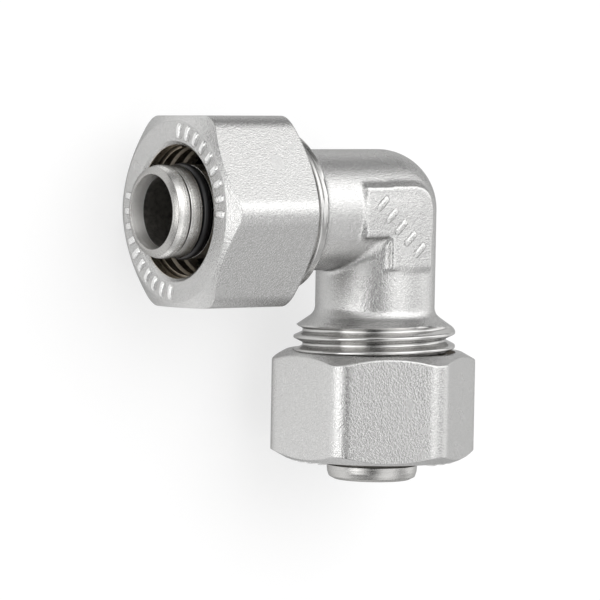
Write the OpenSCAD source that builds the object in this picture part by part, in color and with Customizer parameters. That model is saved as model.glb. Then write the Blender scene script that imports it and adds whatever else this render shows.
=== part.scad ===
// Elbow fitting for plastic and multilayer pipe, with a screwed hex nut and a split ring on each arm.
// Millimetres. The origin is the point where the axes of the two arms cross. The inlet arm points
// along -X, the outlet arm along -Y, and +Z is square to both. Each arm is drawn upright, along +Z
// from the crossing, and is then laid in its place.

/* [Pipe] */
// Outside diameter of the pipe that each arm takes
pipe_od = 16; // [15.6:0.1:16.4]
// Wall of that pipe
pipe_wall = 2; // [1.8:0.1:2.2]

/* [Passage and spigot] */
// Wall of a spigot, round the passage through it
spigot_wall = 1.4; // [1.3:0.05:2.1]
// Diameter of the wider passage through the forged bend
bend_d = 11.2; // [9.6:0.1:11.4]
// Play between the spigot and the inside of the pipe, on the radius
spigot_play = 0.1; // [0.05:0.01:0.2]
// Distance from the crossing of the axes to the tip of a spigot
spigot_reach = 35; // [34.6:0.1:37]
// Thickness of a sealing ring on the spigot
seal_t = 1.2; // [1:0.05:1.25]
// How far a sealing ring stands out of the spigot
seal_proud = 0.2; // [0.1:0.02:0.3]
// Distance from the tip of the spigot to the middle of the front sealing ring
seal_front = 4.6; // [4.2:0.1:5]
// Distance between the two sealing rings of a spigot
seal_step = 4.2; // [3:0.1:4.6]
// Distance from the tip of the spigot to the fine line turned round it
line_back = 1.9; // [1.8:0.1:2.4]
// Length of the spigot's foot that is pressed into the body
foot_len = 5; // [3.5:0.5:6]
// How much wider than the spigot that foot is, on the radius
foot_step = 0.3; // [0.2:0.05:0.6]
// Thickness of the collar that stops the spigot on the floor of the socket
collar_t = 0.9; // [0.6:0.1:1.2]
// How much wider than its hole the pressed foot is, on the radius
foot_press = 0.01; // [0:0.005:0.02]

/* [Forged body] */
// Diameter of the forged tube
tube_d = 15.5; // [14.4:0.1:16.4]
// Distance from the crossing to the widest edge of the shoulder, where the thread starts
shoulder_at = 15.5; // [14.8:0.1:15.8]
// Slope of the shoulder against the axis, in degrees
shoulder_slope = 55; // [45:1:65]
// Radius of the hollow curve between the tube and the shoulder
shoulder_curve = 1.6; // [0.8:0.1:2.2]
// Depth of the socket round the foot of the spigot, which the end of the pipe stands in
socket_depth = 6.1; // [4:0.1:6.6]
// Play between the pipe and that socket, on the radius
socket_play = 0.15; // [0.1:0.01:0.25]
// Thickness of the insulating washer at the foot of the spigot
washer_t = 1.2; // [0.8:0.1:1.6]

/* [Thread] */
// Outside diameter of the thread
thread_d = 20.955; // [20.8:0.005:21.1]
// Pitch of the thread
thread_pitch = 1.814; // [1.6:0.001:1.9]
// Depth of the thread
thread_depth = 1.162; // [0.9:0.001:1.2]
// Length of the thread, from the shoulder's edge to the end of the body
thread_len = 7.1; // [6.6:0.1:7.2]

/* [Nut] */
// Wall of a nut between its bore and the middle of a flat
nut_wall = 1.4425; // [1.2:0.0025:2.5]
// Radius of the nut's six rounded corners
hex_round = 3.2; // [1.5:0.1:4]
// Length of a nut
nut_len = 13.9; // [13.6:0.1:14.4]
// How far the bevel at either end of a nut reaches in from the middle of a flat
face_in = 0.6; // [0.4:0.05:0.8]
// Angle of the bevel at either end of a nut, in degrees
nut_bevel = 29; // [20:1:40]
// Play between the pipe and a nut's mouth, on the radius
mouth_play = 0.35; // [0.3:0.05:0.5]
// Play between the thread's crests and the nut's bore, on the radius
nut_play = 0.08; // [0.05:0.01:0.15]
// How far the face of the inlet nut stands out beyond the end of the body
inlet_out = 9; // [8.6:0.05:9.8]
// How far the face of the outlet nut stands out beyond the end of the body
outlet_out = 9.65; // [8.6:0.05:9.8]
// How far the inlet nut is turned from having a corner at the top, in degrees
inlet_turn = 1.5; // [-3:0.5:3]
// How far the outlet nut is turned from having a corner at the top, in degrees
outlet_turn = -3.9; // [-5:0.1:5]

/* [Split ring] */
// Length of a split ring
ring_len = 5; // [4.4:0.1:5.2]
// Wall of a split ring
ring_wall = 1.25; // [1.1:0.05:1.4]
// Play between a split ring and the pipe, on the radius
ring_bore_play = 0.05; // [0.03:0.01:0.1]
// Play between a split ring and its nut, on the radius
ring_play = 0.1; // [0.05:0.01:0.15]
// How far the split ring sits behind the face of its nut
ring_back = 2; // [1.9:0.1:2.2]
// Width of the split
ring_gap = 2.4; // [1.2:0.1:3]
// Where the split of the inlet ring is, in degrees from the top
inlet_split = 92; // [0:1:359]
// Where the split of the outlet ring is, in degrees from the top
outlet_split = 40; // [0:1:359]
// Distance between the three gripping teeth inside a split ring
tooth_step = 2.1; // [1.6:0.1:2.2]
// Depth of the grooves between those teeth
tooth_depth = 0.35; // [0.2:0.05:0.5]

/* [Raised marks] */
// Half the width of the flat pads on the elbow's two broad sides
pad_half = 3.2; // [2.6:0.1:3.6]
// Distance from the crossing to the far ends of a pad
pad_reach = 7.4; // [6.5:0.1:8.5]
// How far a pad stands above the top of the tube
pad_rise = 0.15; // [0.05:0.05:0.4]
// Height of the raised marks on the pad and on the nuts
mark_rise = 0.25; // [0.15:0.05:0.35]

/* [Hidden] */
$fn = 96;

eps = 0.01;
pipe_r = pipe_od / 2;
spigot_r = pipe_r - pipe_wall - spigot_play;
passage_r = spigot_r - spigot_wall;
bend_r = bend_d / 2;
overrun = bend_r * 0.6;
drill_tip = bend_r * tan(31);
tube_r = tube_d / 2;
thread_r = thread_d / 2;
root_r = thread_r - thread_depth;
crest_w = 0.3;
body_end = shoulder_at + thread_len;
crests = floor((thread_len - crest_w) / thread_pitch);
socket_r = pipe_r + socket_play;
socket_floor = body_end - socket_depth;
socket_bevel = 0.7;
foot_at = socket_floor - foot_len;
foot_r = spigot_r + foot_step;
washer_at = socket_floor + collar_t;
undercut = 0.4;
collar_r = spigot_r + 1.4;

// Sealing rings: they sit in grooves that leave a little air under and beside them
seal_mid = spigot_r + seal_proud - seal_t / 2;
groove_r = seal_mid - seal_t / 2 - 0.03;
groove_w = seal_t + 0.4;
front_at = spigot_reach - seal_front;
rear_at = front_at - seal_step;

// Tip of the spigot: a slim taper, a rounded edge and a countersink
tip_taper = [0.35, 1.0];
tip_round = [0.85, 1.6];
countersink = [0.45, 1.8];

// Nut, measured back from its face
mouth_r = pipe_r + mouth_play;
mouth_bevel = 0.5;
cone_from = mouth_bevel + 1;
ring_in_r = pipe_r + ring_bore_play;
ring_out_r = ring_in_r + ring_wall;
chamber_r = ring_out_r + ring_play;
cone_len = chamber_r - mouth_r + 0.45;
chamber_end = ring_back + ring_len;
nut_bore_r = thread_r + nut_play;
hex_af = 2 * (nut_bore_r + nut_wall);
face_r = hex_af / 2 - face_in;
inlet_face = body_end + inlet_out;
outlet_face = body_end + outlet_out;
hex_corner = (hex_af / 2 - hex_round) / cos(30);
nut_slope = tan(nut_bevel);

// The marks are plain bars, with no letters or figures
pad_top = tube_r + pad_rise;
pad_corner = 2.4;
bar = [1, 2.1];
bar_pitch = 10.6;
pad_bar = [1.05, 2.6];
face_bar_r = (mouth_r + mouth_bevel + face_r) / 2;

// Points of a curve that starts along the axis at [r, s] and turns outwards by a degrees
function flare(r, s, c, a, n = 5) =
  [for (i = [0:n]) [r + c * (1 - cos(a * i / n)), s + c * sin(a * i / n)]];
flare_rise = shoulder_curve * (1 - cos(shoulder_slope));
cone_s = (thread_r - tube_r - flare_rise) / tan(shoulder_slope);
flare_at = shoulder_at - crest_w / 2 - cone_s - shoulder_curve * sin(shoulder_slope);

// Ridges of the thread, from the shoulder outwards
function ridge(s) = [
  [thread_r, s - crest_w / 2], [thread_r, s + crest_w / 2],
  [root_r, s + thread_pitch / 2 - crest_w / 2], [root_r, s + thread_pitch / 2 + crest_w / 2]];
ridges = [for (k = [0:crests]) each ridge(shoulder_at + k * thread_pitch)];

// Outline of the spigot, from the foot that is pressed into the body to the tip
function groove(at) = [
  [spigot_r, at - groove_w / 2], [groove_r, at - groove_w / 2],
  [groove_r, at + groove_w / 2], [spigot_r, at + groove_w / 2]];
line_at = spigot_reach - line_back;
spigot = [[passage_r, foot_at], [foot_r + foot_press, foot_at], [foot_r + foot_press, socket_floor],
  [collar_r, socket_floor], [collar_r, washer_at], [spigot_r - undercut, washer_at],
  [spigot_r - undercut, washer_at + washer_t + 0.1], [spigot_r, washer_at + washer_t + 0.1],
  each groove(rear_at), each groove(front_at),
  [spigot_r, line_at - 0.15], [spigot_r - 0.18, line_at], [spigot_r, line_at + 0.15],
  [spigot_r - 0.1, spigot_reach - tip_taper[1]],
  [spigot_r - tip_taper[0], spigot_reach - 0.35],
  [spigot_r - tip_round[0], spigot_reach],
  [passage_r + countersink[0], spigot_reach], [passage_r, spigot_reach - countersink[1]]];

// Outline of one arm of the body, from the crossing to the mouth of its socket
arm = [[0, 0], [tube_r, 0],
  each flare(tube_r, flare_at, shoulder_curve, shoulder_slope), each ridges,
  [root_r, body_end - 0.2], [root_r - 0.2, body_end],
  [socket_r + socket_bevel, body_end], [socket_r, body_end - socket_bevel],
  [socket_r, socket_floor], [0, socket_floor]];

// Lays what is drawn upright along the inlet arm, with its own +X turned up to +Z
module on_inlet() rotate([0, -90, 0]) children();

// Lays what is drawn upright along the outlet arm, with its own +X turned up to +Z
module on_outlet() rotate([90, 0, 0]) rotate([0, 0, 90]) children();

module arm_solid() rotate_extrude() polygon(arm);

// Drilled passage: it runs a little past the other arm's axis, to the point of the drill,
// and widens to the hole that holds the spigot's foot
module passage() {
  translate([0, 0, -overrun]) cylinder(h = overrun + foot_at + eps, r = bend_r);
  translate([0, 0, -overrun - drill_tip]) cylinder(h = drill_tip, r1 = 0, r2 = bend_r);
  translate([0, 0, foot_at]) cylinder(h = foot_len + 1, r = foot_r);
}

// Flat pad over the bend, shaped like an L with one rounded corner
module pad(z) {
  translate([-pad_reach, -pad_half, z]) cube([pad_reach + pad_half - pad_corner, 2 * pad_half, 3]);
  translate([-pad_half, -pad_reach, z]) cube([2 * pad_half, pad_reach + pad_half - pad_corner, 3]);
  translate([pad_half - pad_corner, pad_half - pad_corner, z]) cylinder(h = 3, r = pad_corner);
}

// Row of plain bars across the pad, square to the bend's mirror line
module pad_marks() {
  for (i = [-2:2])
    translate([-1.95 + i * 1.5, -1.95 - i * 1.5, pad_top - 0.5]) rotate([0, 0, 45])
      translate([-pad_bar[1] / 2, -pad_bar[0] / 2, 0]) cube([pad_bar[1], pad_bar[0], 0.5 + mark_rise]);
}

module elbow_body() {
  color([0.76, 0.76, 0.75])
    difference() {
      union() {
        on_inlet() arm_solid();
        on_outlet() arm_solid();
        sphere(r = tube_r);
        pad(pad_top - 3);
        mirror([0, 0, 1]) pad(pad_top - 3);
        pad_marks();
      }
      on_inlet() passage();
      on_outlet() passage();
    }
}

module turned_spigot() color([0.80, 0.80, 0.79]) rotate_extrude() polygon(spigot);

module inlet_spigot() on_inlet() turned_spigot();

module outlet_spigot() on_outlet() turned_spigot();

// Rounded hexagon with a corner on its own +X
module hexagon() {
  polygon([for (i = [0:5]) each [for (e = [-30, 30])
    [hex_corner * cos(60 * i) + hex_round * cos(60 * i + e),
     hex_corner * sin(60 * i) + hex_round * sin(60 * i + e)]]]);
  for (i = [0:5]) rotate([0, 0, 60 * i]) translate([hex_corner, 0]) circle(r = hex_round);
}

// Bars on the nut's face, in two rows round its mouth
module face_marks() {
  for (a = [for (i = [0:8]) bar_pitch * i - 1, for (i = [0:9]) 170 + bar_pitch * i])
    rotate([0, 0, a]) translate([face_bar_r - bar[1] / 2, -bar[0] / 2, nut_len - 0.5])
      cube([bar[1], bar[0], 0.5 + mark_rise]);
}

// Nut with its back at 0 and its mouth at the top
module nut() {
  far = hex_af;
  color([0.78, 0.78, 0.77])
    difference() {
      union() {
        intersection() {
          linear_extrude(height = nut_len) hexagon();
          rotate_extrude() polygon([[0, 0], [face_r, 0],
            [far, (far - face_r) * nut_slope], [far, nut_len - (far - face_r) * nut_slope],
            [face_r, nut_len], [0, nut_len]]);
        }
        face_marks();
      }
      rotate_extrude() polygon([[0, -1], [nut_bore_r + 0.1, -1], [nut_bore_r + 0.1, 0],
        [nut_bore_r, 0.1], [nut_bore_r, nut_len - chamber_end],
        [chamber_r, nut_len - chamber_end], [chamber_r, nut_len - cone_from - cone_len],
        [mouth_r, nut_len - cone_from], [mouth_r, nut_len - mouth_bevel],
        [mouth_r + mouth_bevel, nut_len], [mouth_r + mouth_bevel, nut_len + 1], [0, nut_len + 1]]);
    }
}

module inlet_nut() on_inlet() translate([0, 0, inlet_face - nut_len]) rotate([0, 0, inlet_turn]) nut();

module outlet_nut() on_outlet() translate([0, 0, outlet_face - nut_len]) rotate([0, 0, outlet_turn]) nut();

// Split ring with its back at 0, its front bevel beside the nut's cone, and its split at angle at
module split_ring(at) {
  cone_slope = (chamber_r - mouth_r) / cone_len;
  front_r = mouth_r + (ring_back - cone_from) * cone_slope - ring_play;
  tooth = 0.3;
  color([0.62, 0.55, 0.44])
    difference() {
      rotate_extrude() polygon([
        [ring_in_r, ring_len],
        each [for (k = [0:1]) each [
          [ring_in_r, ring_len - k * tooth_step - tooth],
          [ring_in_r + tooth_depth, ring_len - k * tooth_step - tooth - 0.3],
          [ring_in_r + tooth_depth, ring_len - (k + 1) * tooth_step + 0.6],
          [ring_in_r, ring_len - (k + 1) * tooth_step]]],
        [ring_in_r, 0], [ring_out_r - 0.65, 0], [ring_out_r, 0.65],
        [ring_out_r, ring_len - (ring_out_r - front_r) / cone_slope],
        [front_r, ring_len]]);
      rotate([0, 0, at]) translate([0, -ring_gap / 2, -1]) cube([hex_af, ring_gap, ring_len + 2]);
    }
}

module inlet_split_ring() on_inlet() translate([0, 0, inlet_face - chamber_end]) split_ring(inlet_split);

module outlet_split_ring() on_outlet() translate([0, 0, outlet_face - chamber_end]) split_ring(outlet_split);

module seal(s) color([0.06, 0.06, 0.06]) rotate_extrude() translate([seal_mid, s]) circle(d = seal_t, $fn = 48);

module inlet_front_seal() on_inlet() seal(front_at);

module inlet_rear_seal() on_inlet() seal(rear_at);

module outlet_front_seal() on_outlet() seal(front_at);

module outlet_rear_seal() on_outlet() seal(rear_at);

// Insulating washer that the end of the pipe stands on
module washer() {
  color([0.09, 0.09, 0.09])
    translate([0, 0, washer_at])
      rotate_extrude() polygon([[spigot_r + 0.05, 0], [socket_r - 0.1, 0],
        [socket_r - 0.1, washer_t], [spigot_r + 0.05, washer_t]]);
}

module inlet_washer() on_inlet() washer();

module outlet_washer() on_outlet() washer();

elbow_body();
inlet_spigot();
outlet_spigot();
inlet_nut();
outlet_nut();
inlet_split_ring();
outlet_split_ring();
inlet_front_seal();
inlet_rear_seal();
inlet_washer();
outlet_front_seal();
outlet_rear_seal();
outlet_washer();
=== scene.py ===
"""Compression elbow with a screwed hex nut on each arm, in the row frame, in metres.

The shapes are drawn in millimetres. Each arm is drawn upright, along its own +Z from the crossing of the two axes,
and laid in its place by lay().
"""
import itertools
import math

import bmesh
import bpy
import numpy as np
from mathutils import Matrix, Vector


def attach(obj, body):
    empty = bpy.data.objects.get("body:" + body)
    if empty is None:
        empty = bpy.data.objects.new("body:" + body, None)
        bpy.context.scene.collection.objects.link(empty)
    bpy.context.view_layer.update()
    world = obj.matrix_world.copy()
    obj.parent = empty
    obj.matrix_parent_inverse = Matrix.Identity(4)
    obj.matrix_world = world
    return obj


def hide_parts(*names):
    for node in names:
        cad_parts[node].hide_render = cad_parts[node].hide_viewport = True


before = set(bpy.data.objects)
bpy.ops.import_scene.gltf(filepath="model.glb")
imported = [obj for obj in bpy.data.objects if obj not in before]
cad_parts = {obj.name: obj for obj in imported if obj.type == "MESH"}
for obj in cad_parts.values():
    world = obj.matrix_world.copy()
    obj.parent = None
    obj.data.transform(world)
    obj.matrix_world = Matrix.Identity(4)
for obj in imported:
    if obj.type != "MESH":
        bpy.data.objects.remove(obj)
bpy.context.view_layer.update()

MM = 0.001
TAU = 2 * math.pi
SIXTH = math.pi / 3  # a sixth of a turn
MERGE = 2e-6  # points of a piece that are closer than this, in metres, become one

# Sizes in millimetres, as in the construction. _R is a radius, and _AT, _FLOOR and _END are places along an arm.

# Forged bend: its tube, its passage, and the flare that widens the tube to the thread
TUBE_R, BEND_R = 7.75, 5.6
PAST_CROSSING = BEND_R * 0.6  # how far each arm's passage is drilled past the crossing
SHOULDER_AT = 15.35
FLARE_SLOPE, FLARE_CURVE = math.radians(55), 1.6
CROTCH_DEPTH, CROTCH_BLEND = 6.0, 0.8
CUT_AT = 14.5  # where the bend's mesh gives way to the threaded end's

# Raised pad on each side of the bend: an L with its outer corner rounded and its sides drafted
PAD_HALF, PAD_REACH, PAD_TOP, PAD_FOOT = 3.2, 7.4, 7.9, 4.0
PAD_CORNER, PAD_ROUND, PAD_INNER_BLEND = 2.4, 0.35, 0.5
PAD_DRAFT, PAD_EDGE, PAD_BLEND = 0.25, 0.45, 0.6

# Threaded end, with the pipe's socket in it and the hole for the spigot's foot behind that
THREAD_R, ROOT_R, PITCH = 10.4775, 9.3155, 1.814
SOCKET_R, SOCKET_BEVEL, SOCKET_FLOOR, BODY_END = 8.15, 0.7, 16.5, 22.6
END_R, END_SLOPE = ROOT_R - 0.15, 1.1  # bevel of the thread at the body's end
GROOVE_FADE = 0.6  # how far the thread's groove runs before it is fully deep
FOOT_R, FOOT_AT = 6.2, 11.5

# Turned spigot: its pressed foot, its flange on the socket's floor, the relief behind its land, and its barbed tip
SPIGOT_R, PASSAGE_R, REACH = 5.9, 4.5, 35.0
PRESS_R = FOOT_R + 0.005
FLANGE_R, FLANGE_END = SPIGOT_R + 1.4, SOCKET_FLOOR + 0.9
RELIEF_R, RELIEF_END = SPIGOT_R - 0.4, SOCKET_FLOOR + 2.2
BARB_AT, BARB_DEPTH = 33.1, 0.5
COUNTERSINK, COUNTERSINK_RIM = 1.8, 0.2

# Sealing rings in their grooves, and the washer at the spigot's foot
FRONT_SEAL, REAR_SEAL = 30.4, 26.2
GROOVE_R, GROOVE_HALF = 4.87, 0.8
SEAL_R, SEAL_HALF = 5.5, 0.6
WASHER_IN, WASHER_OUT, WASHER_AT, WASHER_END = 5.95, 8.05, 17.4, 18.6

# Nut. The chamber's end and the cone's two ends are depths below its face
HEX_AF, HEX_ROUND = 24.0, 3.2
NUT_LEN, NUT_CHAMFER = 13.9, math.radians(29)
FACE_R, MOUTH_R, MOUTH_BEVEL, NUT_BORE_R = 11.4, 8.35, 0.5, 10.5575
CHAMBER_R, CHAMBER_END = 9.4, 7.0
CONE_TOP, CONE_FOOT = 1.5, 3.0

# Split ring, with ridges that grip the pipe
RING_IN, RING_OUT, RING_LEN, RING_BEVEL = 8.05, 9.3, 5.0, 0.65
RING_GAP, RING_MID_R = 2.4, 8.6
RIDGES, RIDGE_PITCH = 2, 1.75

# Raised marks: length and width, pitch, and where they stand
MARK_RISE = 0.3
NUT_MARK, NUT_MARK_PITCH = (2.1, 1.0), 10.6
NUT_MARK_ROWS = ((-1, 9), (170, 10))  # angle of the first mark in degrees, and how many
PAD_MARK, PAD_MARK_PITCH, PAD_MARK_MID = (2.6, 1.05), 1.5, -1.95

FLOOR_Z = -13.37

# For each arm: the nut's face and turn, where a crest of the thread passes the arm's own +X and where its groove
# begins, the middle of the ring's gap, the turned tube's tone, and the marks' turn on the nut, with turns in degrees
# The tube's tone is paler on the inlet as painted light, and darker on the outlet as painted shade
ARMS = {
    "inlet": dict(face=31.6, turn=1.5, crest_at=16.25, groove_from=15.2,
                  split=92.0, tone=(0.82, 0.81, 0.79), marks_from=0.0),
    "outlet": dict(face=32.25, turn=-3.9, crest_at=16.02, groove_from=14.6,
                   split=40.0, tone=(0.56, 0.553, 0.54), marks_from=-91.0),
}


def lay(arm, p):
    """Points drawn upright, in millimetres, laid along their arm, in metres."""
    p = np.asarray(p, float)
    x, y, z = p[..., 0], p[..., 1], p[..., 2]
    if arm == "inlet":
        return np.stack([-z, y, x], -1) * MM
    if arm == "outlet":
        return np.stack([-y, -z, x], -1) * MM
    return p * MM


# Meshes

def new_object(name, data):
    obj = bpy.data.objects.new(name, data)
    bpy.context.scene.collection.objects.link(obj)
    return obj


def finish_piece(name, bm, mats, sharp):
    """Object made from bm, shaded smooth but for edges that turn by more than sharp degrees."""
    bmesh.ops.recalc_face_normals(bm, faces=bm.faces)
    for f in bm.faces:
        f.smooth = True
    mesh = bpy.data.meshes.new(name)
    bm.to_mesh(mesh)
    bm.free()
    for m in mats:
        mesh.materials.append(m)
    if sharp:
        mesh.set_sharp_from_angle(angle=math.radians(sharp))
    return new_object(name, mesh)


def mesh_piece(name, arm, grid, faces, mats, slots=None, sharp=35.0, weighted=False):
    """Piece from a grid of points drawn upright, its faces and the material slot of each face."""
    bm = bmesh.new()
    verts = [bm.verts.new(v) for v in lay(arm, grid).reshape(-1, 3)]
    for i, f in enumerate(faces):
        face = bm.faces.new([verts[k] for k in f])
        face.material_index = 0 if slots is None else int(slots[i])
    bmesh.ops.remove_doubles(bm, verts=bm.verts, dist=MERGE)
    obj = finish_piece(name, bm, mats, sharp)
    if weighted:
        mod = obj.modifiers.new("normals", "WEIGHTED_NORMAL")
        mod.keep_sharp = True
        mod.weight = 90
    return obj


def grid_faces(nu, nv, wrap_u=True):
    """Quads of a grid of nu outlines with nv points each. Each outline is closed."""
    idx = np.arange(nu * nv).reshape(nu, nv)
    a = idx if wrap_u else idx[:-1]
    b = np.roll(idx, -1, 0) if wrap_u else idx[1:]
    return np.stack([a, b, np.roll(b, -1, 1), np.roll(a, -1, 1)], -1).reshape(-1, 4)


def soften(points, n=4):
    """Closed outline of (r, s, fillet radius) with its corners rounded: n + 1 points where a fillet is given."""
    out = []
    for i, (r, s, *fillet) in enumerate(points):
        p = np.array((r, s), float)
        if not fillet:
            out.append(p)
            continue
        rho = fillet[0]
        a, b = np.array(points[i - 1][:2], float), np.array(points[(i + 1) % len(points)][:2], float)
        u, v = (a - p) / np.linalg.norm(a - p), (b - p) / np.linalg.norm(b - p)
        half = math.acos(max(-1.0, min(1.0, float(u @ v)))) / 2
        t = rho / math.tan(half)
        centre = p + (u + v) / np.linalg.norm(u + v) * rho / math.sin(half)
        start, end = p + u * t - centre, p + v * t - centre
        first = math.atan2(start[1], start[0])
        turn = (math.atan2(end[1], end[0]) - first + math.pi) % TAU - math.pi
        for k in range(n + 1):
            w = first + turn * k / n
            out.append(centre + rho * np.array([math.cos(w), math.sin(w)]))
    return np.array(out)


def revolve(points, angles):
    """Grid of points from an (r, s) outline, or from one for each angle, turned round the arm's axis."""
    r, s = points[..., 0], points[..., 1]
    c, q = np.cos(angles)[:, None], np.sin(angles)[:, None]
    return np.stack([r * c, r * q, np.broadcast_to(s, (len(angles), s.shape[-1]))], -1)


def turn_points(p, angle):
    """Points turned about the arm's axis."""
    x, y, z = p[..., 0], p[..., 1], p[..., 2]
    c, s = math.cos(angle), math.sin(angle)
    return np.stack([x * c - y * s, x * s + y * c, z], -1)


def round_piece(name, arm, points, mats, pick=None, turns=144, **shading):
    """Full turn of a closed outline. pick gives the material slot of an (r, s) place on it."""
    faces = grid_faces(turns, len(points))
    slots = None
    if pick is not None:
        slots = np.tile([pick(*mid) for mid in (points + np.roll(points, -1, 0)) / 2], turns)
    grid = revolve(points, np.arange(turns) * TAU / turns)
    return mesh_piece(name, arm, grid, faces, mats, slots, **shading)


# Forged bend, as the zero surface of a distance field

CURVE_RISE, CURVE_LEN = FLARE_CURVE * (1 - math.cos(FLARE_SLOPE)), FLARE_CURVE * math.sin(FLARE_SLOPE)
FLARE_AT = SHOULDER_AT - (THREAD_R - TUBE_R - CURVE_RISE) / math.tan(FLARE_SLOPE) - CURVE_LEN
FIELD_HALF, FIELD_PAST_CUT = 10.9, 0.9  # box that holds the bend and a little past its cuts


def flare(s):
    """Radius of the tube and its flare at s, as if uncut by the thread, and the slope there."""
    d = np.clip(s - FLARE_AT, 0, CURVE_LEN)
    drop = np.sqrt(FLARE_CURVE ** 2 - d ** 2)
    more = np.maximum(s - FLARE_AT - CURVE_LEN, 0)
    r = TUBE_R + (FLARE_CURVE - drop) + more * math.tan(FLARE_SLOPE)
    return r, np.where(more > 0, math.tan(FLARE_SLOPE), d / drop)


def smooth_min(a, b, k):
    """Lower of two distances, with a fillet about k wide where they meet."""
    k = np.maximum(k, 1e-6)
    h = np.maximum(k - np.abs(a - b), 0) / k
    return np.minimum(a, b) - h * h * k / 4


def smooth_max(a, b, k):
    return -smooth_min(-a, -b, k)


def arm_field(along, q1, q2):
    """Distance to one arm: a tube that ends in a ball at the crossing and flares towards the shoulder."""
    s = -along
    ball = np.sqrt(np.minimum(s, 0) ** 2 + q1 ** 2 + q2 ** 2)
    r, slope = flare(s)
    return (ball - r) / np.sqrt(1 + slope ** 2)


def round_box(x, y, cx, cy, hx, hy, rad):
    """Distance to a rectangle with rounded corners: its middle, its half sizes and its corner radius."""
    dx, dy = np.abs(x - cx) - hx + rad, np.abs(y - cy) - hy + rad
    return np.minimum(np.maximum(dx, dy), 0) + np.hypot(np.maximum(dx, 0), np.maximum(dy, 0)) - rad


def pad_outline(x, y):
    """Distance in the plane of the arms to the pad's L."""
    mid, half = (PAD_HALF - PAD_REACH) / 2, (PAD_HALF + PAD_REACH) / 2
    legs = smooth_min(round_box(x, y, mid, 0, half, PAD_HALF, PAD_ROUND),
                      round_box(x, y, 0, mid, PAD_HALF, half, PAD_ROUND), PAD_INNER_BLEND)
    dx, dy = x - PAD_HALF + PAD_CORNER, y - PAD_HALF + PAD_CORNER
    return np.where((dx > 0) & (dy > 0), np.maximum(legs, np.hypot(dx, dy) - PAD_CORNER), legs)


def bend_field(p):
    """Distance to the bend with its pads and its passages, positive outside."""
    x, y, z = p[..., 0], p[..., 1], p[..., 2]
    in_crotch = np.clip(-(x + y) / math.sqrt(2) / CROTCH_DEPTH, 0, 1)
    body = smooth_min(arm_field(x, y, z), arm_field(y, x, z), CROTCH_BLEND * in_crotch)
    height = np.abs(z)
    sides = (pad_outline(x, y) - PAD_DRAFT * (PAD_TOP - height)) / math.hypot(1, PAD_DRAFT)
    pad = np.maximum(smooth_max(sides, height - PAD_TOP, PAD_EDGE), PAD_FOOT - height)
    body = smooth_min(body, pad, PAD_BLEND)
    for s, r in ((-x, np.hypot(y, z)), (-y, np.hypot(x, z))):
        passage = np.maximum(r - BEND_R, np.maximum(-s - PAST_CROSSING, s - FOOT_AT))
        foot_hole = np.maximum(r - FOOT_R, FOOT_AT - s)
        body = np.maximum(body, -np.minimum(passage, foot_hole))
    return body


def surface_net(field, lo, hi, step):
    """Quads on the zero surface of field, with one vertex in each cell that the surface crosses."""
    axes = [np.arange(l, h + step, step) for l, h in zip(lo, hi)]
    v = field(np.stack(np.meshgrid(*axes, indexing="ij"), -1))
    cells = tuple(n - 1 for n in v.shape)
    total, count = np.zeros(cells + (3,)), np.zeros(cells)

    def at_corner(corner):
        return v[tuple(slice(c, c + n) for c, n in zip(corner, cells))]

    for low in itertools.product((0, 1), repeat=3):
        for axis in range(3):
            if low[axis]:
                continue
            high = tuple(1 if i == axis else c for i, c in enumerate(low))
            a, b = at_corner(low), at_corner(high)
            cross = (a < 0) != (b < 0)
            point = np.array(low, float) + np.zeros(cells + (3,))
            point[..., axis] = np.where(cross, a / np.where(cross, a - b, 1), 0)
            total += np.where(cross[..., None], point, 0)
            count += cross
    used = count > 0
    index = np.full(cells, -1)
    index[used] = np.arange(used.sum())
    verts = np.array(lo) + (np.stack(np.nonzero(used), -1) + total[used] / count[used][:, None]) * step

    faces = []
    for axis in range(3):
        low = [slice(1, -1)] * 3
        low[axis] = slice(0, -1)
        high = list(low)
        high[axis] = slice(1, None)
        at = np.stack(np.nonzero((v[tuple(low)] < 0) != (v[tuple(high)] < 0)), -1)
        across = [i for i in range(3) if i != axis]
        quad = []
        for step_to in ((0, 0), (1, 0), (1, 1), (0, 1)):
            cell = at.copy()
            cell[:, across] += step_to
            quad.append(index[tuple(cell.T)])
        faces.append(np.stack(quad, -1))

    probe = 1e-3
    for _ in range(4):
        slope = np.stack([(field(verts + e) - field(verts - e)) / (2 * probe) for e in np.eye(3) * probe], -1)
        steepness = np.maximum((slope ** 2).sum(-1), 0.25)
        verts = verts - np.clip(field(verts) / steepness, -step / 2, step / 2)[:, None] * slope
    return verts, np.concatenate(faces)


def forged_bend(mats):
    """The bend up to the cut on each arm. Its slots are the blasted outside and the bore."""
    past_cut = -CUT_AT - FIELD_PAST_CUT
    step = 0.21
    verts, faces = surface_net(bend_field, (past_cut, past_cut, -FIELD_HALF), (FIELD_HALF,) * 3, step)
    bm = bmesh.new()
    vs = [bm.verts.new(v * MM) for v in verts]
    for f in faces:
        bm.faces.new([vs[k] for k in f])
    for out in (Vector((-1, 0, 0)), Vector((0, -1, 0))):
        bmesh.ops.bisect_plane(bm, geom=bm.verts[:] + bm.edges[:] + bm.faces[:], dist=1e-7,
                               plane_co=out * CUT_AT * MM, plane_no=out, clear_outer=True)
    for f in bm.faces:
        c = f.calc_center_median() / MM
        radii = [math.hypot(across, c.z) for along, across in ((c.x, c.y), (c.y, c.x)) if along < 0.1]
        f.material_index = 1 if min(radii, default=math.inf) < FOOT_R + 0.15 else 0
    return finish_piece("forged_bend", bm, mats, sharp=50)


# Threaded end of an arm, with a true right-hand helix

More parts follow.
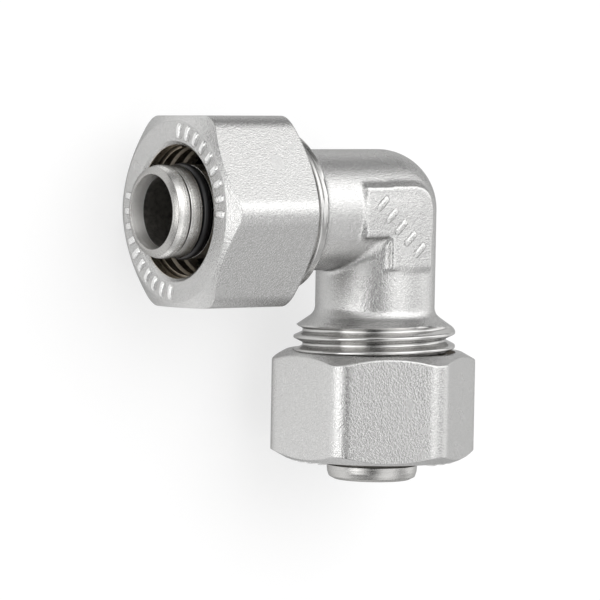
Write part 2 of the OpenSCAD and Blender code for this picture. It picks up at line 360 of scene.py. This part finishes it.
# Profile of one ridge from root to root: place in pitches from the crest, and height as a share of the depth
RIDGE = [(-0.5, 0.0), (-0.43, 0.005), (-0.4, 0.04), (-0.36, 0.13), (-0.25, 0.5), (-0.14, 0.87), (-0.1, 0.96),
         (-0.06, 1.0), (0.0, 1.0), (0.06, 1.0), (0.1, 0.96), (0.14, 0.87), (0.25, 0.5), (0.36, 0.13), (0.4, 0.04),
         (0.43, 0.005)]
RIDGE_COUNT = 8  # enough to reach from the cut to the body's end


def threaded_end(name, arm, crest_at, groove_from, mats):
    """Thread, socket for the pipe and hole for the spigot's foot. Its slots are the flare and the cut surfaces."""
    turns = 200
    places, heights = zip(*RIDGE, (0.5, 0.0))
    first = math.floor((CUT_AT - crest_at) / PITCH) - 1
    inside = soften([
        (SOCKET_R + SOCKET_BEVEL, BODY_END, 0.08), (SOCKET_R, BODY_END - SOCKET_BEVEL, 0.08),
        (SOCKET_R, SOCKET_FLOOR), (FOOT_R, SOCKET_FLOOR), (FOOT_R, CUT_AT), (END_R, BODY_END)])[:-1]
    angles = -math.pi + TAU * np.arange(turns + 1) / turns
    outlines, on_flare = [], []
    for phi in angles:
        shift = crest_at + PITCH * phi / TAU
        s = np.array([shift + PITCH * (k + o) for k in range(first, first + RIDGE_COUNT) for o, _ in RIDGE])
        s = np.clip(s, CUT_AT, BODY_END)
        u = ((s - shift) / PITCH + 0.5) % 1 - 0.5
        root = s + np.where(u > 0, 0.5 - u, -0.5 - u) * PITCH
        t = np.clip((root - groove_from) / GROOVE_FADE, 0, 1)
        fade = t * t * (3 - 2 * t)
        depth = (THREAD_R - ROOT_R) * fade * (1 - np.interp(u, places, heights))
        cone = flare(s)[0]
        bevel = END_R + (BODY_END - s) * END_SLOPE
        r = np.minimum.reduce([THREAD_R - depth, cone, bevel])
        outlines.append(np.concatenate([np.stack([r, s], -1), inside]))
        on_flare.append((r > cone - 0.004) & (s < SHOULDER_AT + 0.02))
    grid, on_flare = revolve(np.array(outlines), angles), np.array(on_flare)
    slots = np.ones(grid.shape[:2], int)
    slots[:, :on_flare.shape[1] - 1][on_flare[:, :-1] & on_flare[:, 1:]] = 0
    faces = grid_faces(*slots.shape, wrap_u=False)
    return mesh_piece(name, arm, grid, faces, mats, slots[:-1].reshape(-1), sharp=40)


# Hex nut

OUTSIDE, INSIDE, MOUTH, FACE = range(4)
CORNER_STEPS, SIDE_STEPS = 10, 14
CORNER_MID = (HEX_AF / 2 - HEX_ROUND) / math.cos(math.pi / 6)  # radius of the middles of the rounded corners
CORNER_HALF = math.atan2(HEX_ROUND * 0.5, CORNER_MID + HEX_ROUND * math.cos(math.pi / 6))


def hex_radius(a):
    """Radius of the rounded hexagon at angle a from a corner."""
    a = (a + SIXTH / 2) % SIXTH - SIXTH / 2
    if abs(a) < CORNER_HALF:
        b = CORNER_MID * math.cos(a)
        return b + math.sqrt(max(b * b - CORNER_MID ** 2 + HEX_ROUND ** 2, 0))
    return HEX_AF / 2 / math.cos(math.pi / 6 - abs(a))


def hex_nut(name, arm, face, turn, mats):
    """Nut with its face at the given place, and a corner turned by turn degrees from the arm's own +X."""
    corner, side = 2 * CORNER_HALF, SIXTH - 2 * CORNER_HALF
    angles = []
    for k in range(6):
        angles += [k * SIXTH - CORNER_HALF + corner * i / CORNER_STEPS for i in range(CORNER_STEPS)]
        angles += [k * SIXTH + CORNER_HALF + side * i / SIDE_STEPS for i in range(SIDE_STEPS)]
    outlines = []
    for a in angles:
        r = hex_radius(a)
        drop = (r - FACE_R) * math.tan(NUT_CHAMFER)
        outlines.append(soften([
            (MOUTH_R, NUT_LEN - CONE_TOP, 0.1), (MOUTH_R, NUT_LEN - MOUTH_BEVEL, 0.2),
            (MOUTH_R + MOUTH_BEVEL, NUT_LEN, 0.25), (FACE_R, NUT_LEN, 0.5), (r, NUT_LEN - drop, 0.15),
            (r, drop, 0.4), (FACE_R, 0, 0.6), (NUT_BORE_R, 0, 0.06), (NUT_BORE_R, NUT_LEN - CHAMBER_END),
            (CHAMBER_R, NUT_LEN - CHAMBER_END), (CHAMBER_R, NUT_LEN - CONE_FOOT, 0.1)], 5))
    grid = turn_points(revolve(np.array(outlines), np.array(angles)), math.radians(turn))
    grid[..., 2] += face - NUT_LEN
    mid = (grid + np.roll(grid, -1, 1)) / 2
    r, depth = np.hypot(mid[..., 0], mid[..., 1]), face - mid[..., 2]
    slots = np.full(r.shape, OUTSIDE)
    slots[(r < NUT_BORE_R + 0.05) & (depth > CONE_TOP + 0.1) & (depth < NUT_LEN - 0.4)] = INSIDE
    slots[(r < MOUTH_R + 0.05) & (depth < CONE_TOP + 0.2)] = MOUTH
    slots[(r > MOUTH_R + 0.3) & (r < FACE_R) & (depth < 0.2)] = FACE
    return mesh_piece(name, arm, grid, grid_faces(*slots.shape), mats, slots.reshape(-1), weighted=True)


# Split ring

def split_ring(name, arm, face, split, mats):
    """Ring with its foot at the chamber's end. Its slots are the dark sides, and the bright crests and ends."""
    cone = (CHAMBER_R - MOUTH_R) / (CONE_FOOT - CONE_TOP)
    front_r = MOUTH_R + (CHAMBER_END - RING_LEN - CONE_TOP) * cone - 0.1
    outline = [(RING_IN, RING_LEN, 0.04)]
    for k in range(RIDGES):
        crest, foot = RING_LEN - k * RIDGE_PITCH, RING_LEN - (k + 1) * RIDGE_PITCH
        outline += [(RING_IN, crest - 0.12, 0.03), (RING_IN + 0.35, crest - 0.2), (RING_IN + 0.3, foot + 0.3),
                    (RING_IN, foot, 0.03)]
    outline += [(RING_IN, 0), (RING_OUT - RING_BEVEL, 0, 0.1), (RING_OUT, RING_BEVEL, 0.1),
                (RING_OUT, RING_LEN - (RING_OUT - front_r) / cone, 0.1), (front_r, RING_LEN, 0.04)]
    points = soften(outline, 3)
    half_gap = math.asin(RING_GAP / 2 / RING_MID_R)
    grid = revolve(points, np.linspace(half_gap, TAU - half_gap, 128) + math.radians(split))
    grid[..., 2] += face - CHAMBER_END
    nu, nv = grid.shape[:2]
    faces = [list(f) for f in grid_faces(nu, nv, wrap_u=False)]
    faces += [list(range(nv)), list(range((nu - 1) * nv, nu * nv))[::-1]]
    crests = (np.abs((points + np.roll(points, -1, 0))[:, 0] / 2 - RING_IN) < 0.06).astype(int)
    return mesh_piece(name, arm, grid, faces, mats, np.concatenate([np.tile(crests, nu - 1), [1, 1]]), sharp=30)


# Turned spigot

TURNED, DARK, BORED_PAINTED_LIGHT, FACED_PAINTED_SHADE = range(4)


def spigot_outline():
    """Closed outline from the foot up the outside, over the tip and back through the passage."""
    points = [(PASSAGE_R, FOOT_AT), (PRESS_R, FOOT_AT), (PRESS_R, SOCKET_FLOOR), (FLANGE_R, SOCKET_FLOOR),
              (FLANGE_R, FLANGE_END, 0.1), (RELIEF_R, FLANGE_END), (RELIEF_R, RELIEF_END), (SPIGOT_R, RELIEF_END)]
    for at in (REAR_SEAL, FRONT_SEAL):
        points += [(SPIGOT_R, at - GROOVE_HALF, 0.06), (GROOVE_R, at - GROOVE_HALF, 0.1),
                   (GROOVE_R, at + GROOVE_HALF, 0.1), (SPIGOT_R, at + GROOVE_HALF, 0.1)]
    points += [(SPIGOT_R - 0.3, BARB_AT - 0.38), (SPIGOT_R - BARB_DEPTH, BARB_AT - 0.34),
               (SPIGOT_R - BARB_DEPTH, BARB_AT), (SPIGOT_R - 0.01, BARB_AT + 0.04, 0.02),
               (SPIGOT_R - 0.08, REACH - 1.0, 0.8), (SPIGOT_R - 0.3, REACH - 0.35, 0.2),
               (SPIGOT_R - 0.95, REACH, 0.08), (PASSAGE_R + COUNTERSINK_RIM, REACH, 0.05),
               (PASSAGE_R, REACH - COUNTERSINK, 0.1)]
    return soften(points, 5)


def spigot_finish_and_painted_light(r, s):
    """The spigot's slot where its outline is at (r, s); the countersink's is painted light, the tip's and groove's
    painted shade.
    """
    in_passage = r < PASSAGE_R + 0.02 and s < REACH - 1.7
    # The barb's groove takes the dark bore metal as painted shade: the thin shadow line under the barb's step
    in_barb_groove = SPIGOT_R - 0.6 < r < SPIGOT_R - 0.2 and abs(s - BARB_AT + 0.17) < 0.21
    if in_passage or in_barb_groove:
        return DARK
    if s > REACH - 0.45:
        return BORED_PAINTED_LIGHT if r < PASSAGE_R + 0.18 else FACED_PAINTED_SHADE
    return BORED_PAINTED_LIGHT if r < PASSAGE_R + 0.19 else TURNED


# Raised marks, set out with Geometry Nodes

def soft_bar():
    """Low mound with a straight-sided outline, 1 long, 1 wide and 1 high, with its foot a little below 0."""
    rings, turns = 8, 28
    verts = []
    for j in range(rings + 1):
        size = 0.5 * (1 - 0.7 * (j / rings) ** 1.3)
        z = math.sin(j / rings * math.pi / 2) if j else -0.6
        for i in range(turns):
            c, s = math.cos(TAU * i / turns), math.sin(TAU * i / turns)
            squared = (abs(c) ** 4 + abs(s) ** 4) ** -0.25
            verts.append((size * squared * c, size * squared * s, z))
    faces = [tuple(f)[::-1] for f in grid_faces(rings + 1, turns, wrap_u=False)]
    faces.append(tuple(range(rings * turns, (rings + 1) * turns)))
    mesh = bpy.data.meshes.new("bar_unit")
    mesh.from_pydata(verts, [], faces)
    mesh.shade_smooth()
    return bpy.data.objects.new("bar_unit", mesh)


def set_out(name, unit, places, size, material):
    """One real mesh of copies of unit at each (place, turn about Z), all of one length, width and rise."""
    points = bpy.data.meshes.new(name + "_points")
    points.from_pydata([p for p, _ in places], [], [])
    turns = points.attributes.new("turn", "FLOAT_VECTOR", "POINT")
    turns.data.foreach_set("vector", [c for _, turn in places for c in (0.0, 0.0, turn)])
    holder = new_object(name + "_holder", points)

    tree = bpy.data.node_groups.new(name + "_nodes", "GeometryNodeTree")
    new, link, socket = tree.nodes.new, tree.links.new, tree.interface.new_socket
    socket("Geometry", in_out="INPUT", socket_type="NodeSocketGeometry")
    sizes = [socket(k, in_out="INPUT", socket_type="NodeSocketFloat") for k in ("Length", "Width", "Rise")]
    socket("Geometry", in_out="OUTPUT", socket_type="NodeSocketGeometry")
    given, result = new("NodeGroupInput"), new("NodeGroupOutput")
    bar, copies = new("GeometryNodeObjectInfo"), new("GeometryNodeInstanceOnPoints")
    turn, euler = new("GeometryNodeInputNamedAttribute"), new("FunctionNodeEulerToRotation")
    scale = new("ShaderNodeCombineXYZ")
    real, painted = new("GeometryNodeRealizeInstances"), new("GeometryNodeSetMaterial")
    bar.inputs["Object"].default_value = unit
    turn.data_type = "FLOAT_VECTOR"
    turn.inputs["Name"].default_value = "turn"
    painted.inputs["Material"].default_value = material
    for i, size_socket in enumerate(sizes):
        link(given.outputs[size_socket.name], scale.inputs[i])
    link(given.outputs["Geometry"], copies.inputs["Points"])
    link(bar.outputs["Geometry"], copies.inputs["Instance"])
    link(turn.outputs["Attribute"], euler.inputs[0])
    link(euler.outputs[0], copies.inputs["Rotation"])
    link(scale.outputs[0], copies.inputs["Scale"])
    link(copies.outputs[0], real.inputs[0])
    link(real.outputs[0], painted.inputs["Geometry"])
    link(painted.outputs[0], result.inputs[0])

    mod = holder.modifiers.new("set_out", "NODES")
    mod.node_group = tree
    for size_socket, value in zip(sizes, size):
        mod[size_socket.identifier] = value
    mesh = bpy.data.meshes.new_from_object(holder.evaluated_get(bpy.context.evaluated_depsgraph_get()))
    bpy.data.objects.remove(holder)
    return mesh


def laid_marks(name, mesh, arm, height, turn=0.0):
    """Marks that were set out flat, turned, raised to their height and laid along their arm."""
    co = np.zeros(len(mesh.vertices) * 3)
    mesh.vertices.foreach_get("co", co)
    co = turn_points(co.reshape(-1, 3), turn)
    co[:, 2] += height
    mesh.vertices.foreach_set("co", lay(arm, co).ravel())
    mesh.update()
    return new_object(name, mesh)


# Materials

def node_material(name):
    """Material with one shader, and its Object coordinates."""
    mat = bpy.data.materials.new(name)
    mat.use_nodes = True
    nt = mat.node_tree
    nt.nodes.clear()
    out, bsdf = nt.nodes.new("ShaderNodeOutputMaterial"), nt.nodes.new("ShaderNodeBsdfPrincipled")
    nt.links.new(bsdf.outputs[0], out.inputs[0])
    return mat, nt, bsdf, nt.nodes.new("ShaderNodeTexCoord").outputs["Object"]


def noise(nt, vec, scale, detail=2.0, rough=0.5):
    n = nt.nodes.new("ShaderNodeTexNoise")
    n.inputs["Scale"].default_value = scale
    n.inputs["Detail"].default_value = detail
    n.inputs["Roughness"].default_value = rough
    nt.links.new(vec, n.inputs["Vector"])
    return n.outputs["Fac"]


def spread(nt, value, lo, hi, to_lo, to_hi, smooth=False):
    """value from lo to hi made to run from to_lo to to_hi."""
    m = nt.nodes.new("ShaderNodeMapRange")
    if smooth:
        m.interpolation_type = "SMOOTHSTEP"
    for key, x in (("From Min", lo), ("From Max", hi), ("To Min", to_lo), ("To Max", to_hi)):
        m.inputs[key].default_value = x
    nt.links.new(value, m.inputs["Value"])
    return m.outputs["Result"]


def combine(nt, operation, a, b):
    """Two values put through one Math node."""
    m = nt.nodes.new("ShaderNodeMath")
    m.operation = operation
    nt.links.new(a, m.inputs[0])
    nt.links.new(b, m.inputs[1])
    return m.outputs[0]


def two_tone(nt, fac, a, b):
    m = nt.nodes.new("ShaderNodeMix")
    m.data_type = "RGBA"
    nt.links.new(fac, m.inputs["Factor"])
    m.inputs["A"].default_value, m.inputs["B"].default_value = (*a, 1), (*b, 1)
    return m.outputs["Result"]


def bump(nt, height, strength, depth, normal=None):
    b = nt.nodes.new("ShaderNodeBump")
    b.inputs["Strength"].default_value = strength
    b.inputs["Distance"].default_value = depth
    nt.links.new(height, b.inputs["Height"])
    if normal is not None:
        nt.links.new(normal, b.inputs["Normal"])
    return b.outputs["Normal"]


def coat(nt, bsdf, colour, roughness, normal):
    """Link a pattern to each of the shader's colour, roughness and normal."""
    for key, value in (("Base Color", colour), ("Roughness", roughness), ("Normal", normal)):
        nt.links.new(value, bsdf.inputs[key])


def make_metal(bsdf, edge=1.0):
    """Set the shader to metal. edge is the grey that it reflects at a grazing angle."""
    bsdf.inputs["Metallic"].default_value = 1.0
    bsdf.inputs["Specular Tint"].default_value = (edge, edge, edge, 1)


def scaled(tone, k):
    return tuple(k * c for c in tone)


def forged_metal(name, tone, grain):
    """Shot-blasted metal: its mean tone, and the depth of the finest grain in metres."""
    mat, nt, bsdf, vec = node_material(name)
    fine, mid = noise(nt, vec, 7000, rough=0.6), noise(nt, vec, 3600, detail=1.5)
    wide = noise(nt, vec, 260)
    make_metal(bsdf, 0.45)
    coat(nt, bsdf,
         two_tone(nt, spread(nt, fine, 0.35, 0.65, 0, 1), scaled(tone, 0.875), scaled(tone, 1.125)),
         spread(nt, wide, 0.3, 0.7, 0.23, 0.28),
         bump(nt, fine, 1.0, grain, bump(nt, mid, 1.0, 0.8 * grain)))
    return mat


SPOT_DEPTH = 0.00004


def turned_metal(name, axis, tone, rough, line, spot):
    """Metal with spots of the given strength, and fine tool lines, line metres deep and square to the axis."""
    mat, nt, bsdf, vec = node_material(name)
    sep, comb = nt.nodes.new("ShaderNodeSeparateXYZ"), nt.nodes.new("ShaderNodeCombineXYZ")
    nt.links.new(vec, sep.inputs[0])
    nt.links.new(sep.outputs[axis], comb.inputs[0])
    lines, spots = noise(nt, comb.outputs[0], 9000, rough=0.7), noise(nt, vec, 2600)
    make_metal(bsdf, 0.5)
    coat(nt, bsdf,
         two_tone(nt, spread(nt, spots, 0.35, 0.7, 0, 1), tone, scaled(tone, 1.06)),
         spread(nt, spots, 0.3, 0.7, rough - 0.03, rough + 0.03),
         bump(nt, lines, 1.0, line, bump(nt, spots, spot, SPOT_DEPTH)))
    return mat


def dull_metal(name, dark, pale, rough):
    """Metal blotched with a dark and a pale tone."""
    mat, nt, bsdf, vec = node_material(name)
    spots = noise(nt, vec, 1800, detail=3.0, rough=0.6)
    make_metal(bsdf)
    coat(nt, bsdf,
         two_tone(nt, spread(nt, spots, 0.35, 0.65, 0, 1), dark, pale),
         spread(nt, spots, 0.3, 0.7, rough - 0.06, rough + 0.06),
         bump(nt, spots, 0.4, 0.00003))
    return mat


def moulded(name, dark, pale, rough):
    """Rubber or plastic as it leaves the mould."""
    mat, nt, bsdf, vec = node_material(name)
    fine = noise(nt, vec, 3000)
    coat(nt, bsdf,
         two_tone(nt, fine, dark, pale),
         spread(nt, fine, 0.3, 0.7, rough - 0.04, rough + 0.05),
         bump(nt, fine, 0.15, 0.00002))
    return mat


blasted = forged_metal("shot_blasted_nickel", (0.64, 0.637, 0.63), 0.000045)
# The nuts' faces: the blasted nickel made darker as painted shade, with a coarser grain
blasted_face_painted_shade = forged_metal("shot_blasted_face_painted_shade", (0.605, 0.602, 0.595), 0.00008)
# The nuts' raised marks: a paler nickel, as a painted highlight on their tops
marks_painted_highlight = forged_metal("nut_marks_painted_highlight", (0.84, 0.837, 0.83), 0.00003)
bore = dull_metal("dark_bore", (0.16, 0.152, 0.14), (0.26, 0.248, 0.23), 0.6)
brass = dull_metal("dull_brass", (0.5, 0.45, 0.37), (0.66, 0.6, 0.5), 0.3)
chamber = dull_metal("dark_chamber", (0.22, 0.195, 0.16), (0.34, 0.3, 0.245), 0.4)
rubber = moulded("black_rubber", (0.008, 0.008, 0.009), (0.02, 0.02, 0.022), 0.33)
plastic = moulded("black_plastic", (0.012, 0.012, 0.013), (0.028, 0.028, 0.03), 0.45)

# The fitting

bend = forged_bend([blasted, bore])
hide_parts("elbow_body")
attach(bend, "elbow")

unit = soft_bar()
for axis, (arm, a) in enumerate(ARMS.items()):
    cut = turned_metal(f"cut_thread_{arm}", axis, (0.6, 0.595, 0.585), 0.2, 0.00001, 0.08)
    # Each arm's spigot has its own tone: painted light on the inlet's, painted shade on the outlet's
    turned = turned_metal(f"turned_nickel_painted_light_{arm}", axis, a["tone"], 0.25, 0.00004, 0.06)
    # Darker metal on the spigot's tip: painted shade
    tip_painted_shade = turned_metal(f"faced_tip_painted_shade_{arm}", axis, (0.44, 0.433, 0.42), 0.27, 0.00003, 0.06)
    # Near-white metal in the countersink: painted light, for the light that its wall catches from the opening
    countersink_painted_light = turned_metal(f"bored_rim_painted_light_{arm}", axis, (0.93, 0.915, 0.89), 0.36, 0.00009, 0.06)

    thread = threaded_end(f"{arm}_thread", arm, a["crest_at"], a["groove_from"], [blasted, cut])
    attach(thread, "elbow")

    spigot = round_piece(f"{arm}_turned_spigot", arm, spigot_outline(), [turned, bore, countersink_painted_light, tip_painted_shade], spigot_finish_and_painted_light,
                          weighted=True, sharp=25)
    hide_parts(f"{arm}_spigot")
    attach(spigot, "elbow")

    for which, at in (("front", FRONT_SEAL), ("rear", REAR_SEAL)):
        w = np.arange(32) * TAU / 32
        round_section = np.stack([SEAL_R + SEAL_HALF * np.cos(w), at + SEAL_HALF * np.sin(w)], -1)
        seal = round_piece(f"{arm}_{which}_o_ring", arm, round_section, [rubber], sharp=0)
        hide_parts(f"{arm}_{which}_seal")
        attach(seal, "elbow")

    flat_section = soften([(WASHER_IN, WASHER_AT, 0.08), (WASHER_OUT, WASHER_AT, 0.08),
                           (WASHER_OUT, WASHER_END, 0.12), (WASHER_IN, WASHER_END, 0.12)], 3)
    washer = round_piece(f"{arm}_insulating_washer", arm, flat_section, [plastic])
    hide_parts(f"{arm}_washer")
    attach(washer, "elbow")

    grip = split_ring(f"{arm}_grip_ring", arm, a["face"], a["split"], [chamber, brass])
    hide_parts(f"{arm}_split_ring")
    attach(grip, f"{arm}_ring")

    nut = hex_nut(f"{arm}_hex_nut", arm, a["face"], a["turn"], [blasted, chamber, brass, blasted_face_painted_shade])
    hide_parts(f"{arm}_nut")
    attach(nut, f"{arm}_nut")

    r = (MOUTH_R + MOUTH_BEVEL + FACE_R) / 2
    angles = [math.radians(first + NUT_MARK_PITCH * i) for first, count in NUT_MARK_ROWS for i in range(count)]
    places = [((r * math.cos(t), r * math.sin(t), 0), t) for t in angles]
    mesh = set_out(f"{arm}_marks", unit, places, (*NUT_MARK, MARK_RISE), marks_painted_highlight)
    marks = laid_marks(f"{arm}_nut_marks", mesh, arm, a["face"], math.radians(a["turn"] + a["marks_from"]))
    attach(marks, f"{arm}_nut")

places = [((PAD_MARK_MID + i * PAD_MARK_PITCH, PAD_MARK_MID - i * PAD_MARK_PITCH, 0), math.radians(45))
          for i in range(-2, 3)]
pad_marks = laid_marks("pad_marks", set_out("pad", unit, places, (*PAD_MARK, MARK_RISE), blasted), "", PAD_TOP)
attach(pad_marks, "elbow")
bpy.data.objects.remove(unit)

# Floor. Each edge is where a change begins and ends, in metres, and each glow is the strength before and after it

SHEET_MID = (-0.011, -0.014, FLOOR_Z * MM)
SHEET_EDGE, SHEET_GLOW = (0.068, 0.105), (0.64, 0.1)
FAR_EDGE, FAR_GLOW = (0.036, 0.055), (1.0, 0.15)
RIGHT_EDGE, RIGHT_GLOW = (0.045, 0.08), (0.0, 0.5)
RIGHT_END, RIGHT_LEFT_OVER = (-0.005, 0.02), (1.0, 0.0)
# The darker grey past the sheet's far edge is painted shade, where the light falls off
SHEET_GREY, PAINTED_SHADE_GREY = (0.38,) * 3, (0.17,) * 3
FLOOR_HALF = 3.0


def floor_material():
    """White sheet under the fitting, with a darker grey past its far edge as painted shade.

    Its own painted light makes up what white lacks, only where the picture or a reflection sees it. This glow fades
    round the sheet and on the far side, and a second, dimmer stretch of it lies to the right.
    """
    mat, nt, bsdf, vec = node_material("white_sheet")
    bsdf.inputs["Roughness"].default_value = 0.8
    bsdf.inputs["Base Color"].default_value = (0.9, 0.9, 0.9, 1)
    path = nt.nodes.new("ShaderNodeLightPath")
    seen = path.outputs["Is Camera Ray"]
    for key in ("Is Glossy Ray", "Is Transmission Ray"):
        seen = combine(nt, "MAXIMUM", seen, path.outputs[key])
    away, place = nt.nodes.new("ShaderNodeVectorMath"), nt.nodes.new("ShaderNodeSeparateXYZ")
    away.operation = "DISTANCE"
    away.inputs[1].default_value = SHEET_MID
    nt.links.new(vec, away.inputs[0])
    nt.links.new(vec, place.inputs[0])
    x, y = place.outputs[0], place.outputs[1]
    round_edge = spread(nt, away.outputs["Value"], *SHEET_EDGE, *SHEET_GLOW, smooth=True)
    far_edge = spread(nt, y, *FAR_EDGE, *FAR_GLOW, smooth=True)
    right_edge = spread(nt, x, *RIGHT_EDGE, *RIGHT_GLOW, smooth=True)
    right_end = spread(nt, y, *RIGHT_END, *RIGHT_LEFT_OVER, smooth=True)
    sheet, stretch = combine(nt, "MULTIPLY", round_edge, far_edge), combine(nt, "MULTIPLY", right_edge, right_end)
    pale, glow = nt.nodes.new("ShaderNodeBsdfDiffuse"), nt.nodes.new("ShaderNodeEmission")
    add, mix = nt.nodes.new("ShaderNodeAddShader"), nt.nodes.new("ShaderNodeMixShader")
    nt.links.new(two_tone(nt, far_edge, PAINTED_SHADE_GREY, SHEET_GREY), pale.inputs["Color"])
    nt.links.new(combine(nt, "ADD", sheet, stretch), glow.inputs["Strength"])
    nt.links.new(pale.outputs[0], add.inputs[0])
    nt.links.new(glow.outputs[0], add.inputs[1])
    nt.links.new(seen, mix.inputs[0])
    nt.links.new(bsdf.outputs[0], mix.inputs[1])
    nt.links.new(add.outputs[0], mix.inputs[2])
    nt.links.new(mix.outputs[0], nt.nodes["Material Output"].inputs[0])
    return mat


mesh = bpy.data.meshes.new("floor")
corners = [(x * FLOOR_HALF, y * FLOOR_HALF, FLOOR_Z * MM) for x, y in ((-1, -1), (1, -1), (1, 1), (-1, 1))]
mesh.from_pydata(corners, [], [(0, 1, 2, 3)])
mesh.materials.append(floor_material())
floor = new_object("floor", mesh)

# Lights

LIT_FROM = Vector((-0.009, -0.009, 0))  # the point that the lamps are aimed at


def direction(azimuth, elevation):
    a, e = math.radians(azimuth), math.radians(elevation)
    return Vector((math.cos(a) * math.cos(e), math.sin(a) * math.cos(e), math.sin(e)))


def area(name, azimuth, elevation, distance, size, radiance):
    """Soft lamp in a direction from the fitting, aimed at it, in degrees and metres."""
    light = bpy.data.lights.new(name, "AREA")
    light.shape = "RECTANGLE"
    light.size, light.size_y = size
    light.energy = radiance * math.pi * size[0] * size[1]
    out = direction(azimuth, elevation)
    turn = out.to_track_quat("Z", "Y").to_matrix().to_4x4()
    new_object(name, light).matrix_world = Matrix.Translation(LIT_FROM + out * distance) @ turn


area("key_right", 38, 50, 0.55, (0.52, 0.7), 0.62)
area("left_box", 180, 20, 0.55, (0.55, 0.4), 0.92)

# The room's own level, and the pale walls and panels in it: azimuth, elevation and half width in degrees, and level.
# Each is at its full level up to PANEL_CORE degrees from its middle
ROOM, PANEL_CORE = 0.22, 5
PANELS = [(10, 5, 45, 1.15), (80, 60, 40, 1.23), (-80, 60, 40, 0.87), (180, 0, 25, 1.42), (180, 18, 25, 0.44),
          (140, 25, 40, 0.41), (100, 35, 40, 0.43), (-100, 25, 45, 0.25), (-50, 23, 45, 0.29), (45, 35, 45, 0.32),
          (180, 80, 16, 0.45)]
# Darker where the camera stands, and to the left of it: azimuth, elevation, core, half width, and share of light left
DARK_PATCHES = [(180, 54, 7, 18, 0.0), (-140, 44, 5, 24, 0.45)]


def studio_world():
    """Dim room with the panels and the dark patches in it."""
    world = bpy.data.worlds.new("studio")
    world.use_nodes = True
    nt = world.node_tree
    back = nt.nodes["Background"]
    towards = nt.nodes.new("ShaderNodeTexCoord").outputs["Generated"]

    def patch(azimuth, elevation, core, width, outside, inside):
        dot = nt.nodes.new("ShaderNodeVectorMath")
        dot.operation = "DOT_PRODUCT"
        dot.inputs[1].default_value = direction(azimuth, elevation)
        nt.links.new(towards, dot.inputs[0])
        edge, full = math.cos(math.radians(width)), math.cos(math.radians(core))
        return spread(nt, dot.outputs["Value"], edge, full, outside, inside, smooth=True)

    azimuth, elevation, width, strength = PANELS[0]
    level = patch(azimuth, elevation, PANEL_CORE, width, ROOM, ROOM + strength)
    for azimuth, elevation, width, strength in PANELS[1:]:
        level = combine(nt, "ADD", level, patch(azimuth, elevation, PANEL_CORE, width, 0, strength))
    for *place, left in DARK_PATCHES:
        level = combine(nt, "MULTIPLY", level, patch(*place, 1, left))
    nt.links.new(level, back.inputs["Strength"])
    back.inputs["Color"].default_value = (1, 1, 1, 1)
    bpy.context.scene.world = world


studio_world()

# Camera: its turn to the side, its tilt and its roll, its distance and aim in millimetres, its focal length in pixels

CAMERA_TURN, CAMERA_TILT, CAMERA_ROLL = math.radians(35.8), math.radians(3.65), math.radians(1.0)
DISTANCE, AIM_RIGHT, AIM_UP, FOCAL = 540.0, -9.7, -11.95, 4175.0
PICTURE, SENSOR = 600, 36

side = Vector((math.cos(CAMERA_TURN), 0, math.sin(CAMERA_TURN)))
back = Vector((-math.sin(CAMERA_TURN) * math.cos(CAMERA_TILT), math.sin(CAMERA_TILT),
               math.cos(CAMERA_TURN) * math.cos(CAMERA_TILT)))
above = back.cross(side)
right = side * math.cos(CAMERA_ROLL) + above * math.sin(CAMERA_ROLL)
up = -side * math.sin(CAMERA_ROLL) + above * math.cos(CAMERA_ROLL)
place = (side * AIM_RIGHT + above * AIM_UP + back * DISTANCE) * MM

camera = bpy.data.cameras.new("camera")
camera.sensor_width = SENSOR
camera.lens = FOCAL / PICTURE * SENSOR
camera.clip_start, camera.clip_end = 0.02, 20
camera_object = new_object("camera", camera)
camera_object.matrix_world = Matrix((*zip(right, up, back, place), (0, 0, 0, 1)))
bpy.context.scene.camera = camera_object
bpy.context.scene.view_settings.view_transform = "Standard"

bpy.context.view_layer.update()
